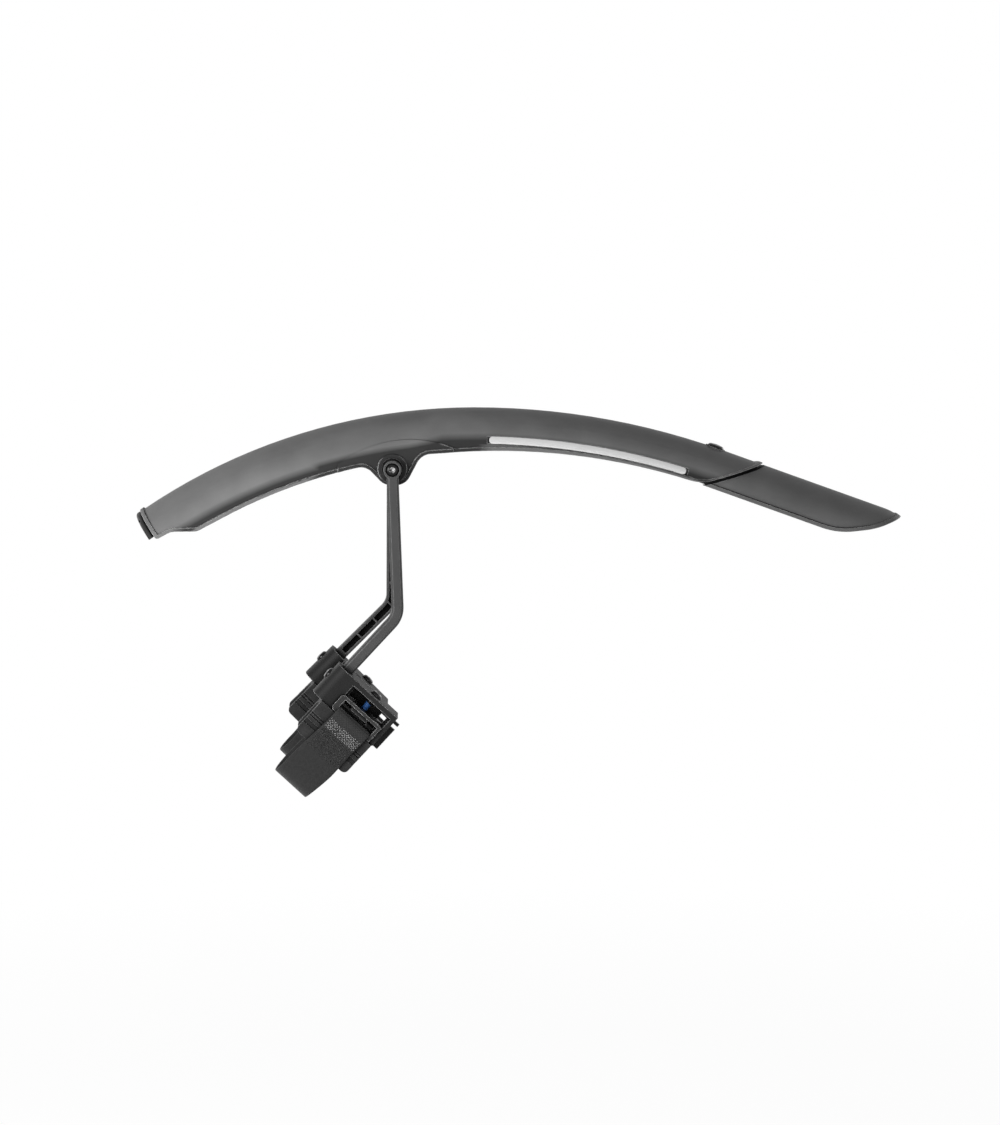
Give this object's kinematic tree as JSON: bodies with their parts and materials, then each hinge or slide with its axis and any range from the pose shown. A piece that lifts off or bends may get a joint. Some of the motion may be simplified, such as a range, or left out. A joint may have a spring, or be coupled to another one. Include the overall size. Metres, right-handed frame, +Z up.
{
  "type": "bicycle mudguard",
  "caption": "Clip-on rear bicycle mudguard: arched blade with sliding tail flap, pivoting side stays and hook-and-loop strap clamps for the seat stays.",
  "frame": {"origin": "centre of the bounding box of the whole part", "axes": "+X to the rear of the bicycle along the blade, +Y to the bicycle's right, +Z up"},
  "size_m": [0.4656, 0.0918, 0.2358],
  "materials": {
    "blade_plastic": "satin, fine moulded grain",
    "stay_plastic": "satin, glass-filled nylon",
    "bracket_plastic": "satin",
    "carrier_plastic": "satin",
    "rubber_black": "matte",
    "strap_webbing": "woven hook-and-loop webbing",
    "screw_black": "black oxide",
    "nut_steel": "zinc plated",
    "reflective_silver": "retroreflective film"
  },
  "bodies": {
    "mudguard_blade": {"blade": "blade_plastic", "front_bumper": "rubber_black", "flap_knob": "screw_black", "flap_nut": "nut_steel", "reflective_strip_left": "reflective_silver", "reflective_strip_right": "reflective_silver", "pivot_screw_left": "screw_black", "pivot_screw_right": "screw_black", "pivot_washer_left": "bracket_plastic", "pivot_washer_right": "bracket_plastic", "pivot_nut_left": "nut_steel", "pivot_nut_right": "nut_steel"},
    "tail_flap": {"tail_flap": "blade_plastic"},
    "stay_left": {"stay_left": "stay_plastic", "clamp_body_left": "bracket_plastic", "socket_screw_left": "screw_black", "tension_screw_left": "screw_black", "saddle_pad_left": "rubber_black"},
    "strap_left": {"strap_carrier_left": "carrier_plastic", "strap_left": "strap_webbing", "tension_nut_left": "nut_steel"},
    "stay_right": {"stay_right": "stay_plastic", "clamp_body_right": "bracket_plastic", "socket_screw_right": "screw_black", "tension_screw_right": "screw_black", "saddle_pad_right": "rubber_black"},
    "strap_right": {"strap_carrier_right": "carrier_plastic", "strap_right": "strap_webbing", "tension_nut_right": "nut_steel"}
  },
  "joints": [
    {"name": "flap_slide", "type": "slide", "parent": "mudguard_blade", "child": "tail_flap", "axis": [0.9409, 0, -0.3387], "range_m": [0, 0.02]},
    {"name": "left_stay_pivot", "type": "hinge", "parent": "mudguard_blade", "child": "stay_left", "pos_m": [-0.07696, -0.03288, 0.08338], "axis": [0, 1, 0], "range_deg": [-45, 45]},
    {"name": "left_strap_tension", "type": "slide", "parent": "stay_left", "child": "strap_left", "axis": [0.6794, 0, 0.7337], "range_m": [0, 0.006]},
    {"name": "right_stay_pivot", "type": "hinge", "parent": "mudguard_blade", "child": "stay_right", "pos_m": [-0.07696, 0.03288, 0.08338], "axis": [0, 1, 0], "range_deg": [-47.4, 42.6]},
    {"name": "right_strap_tension", "type": "slide", "parent": "stay_right", "child": "strap_right", "axis": [0.7096, 0, 0.7046], "range_m": [0, 0.006]}
  ]
}
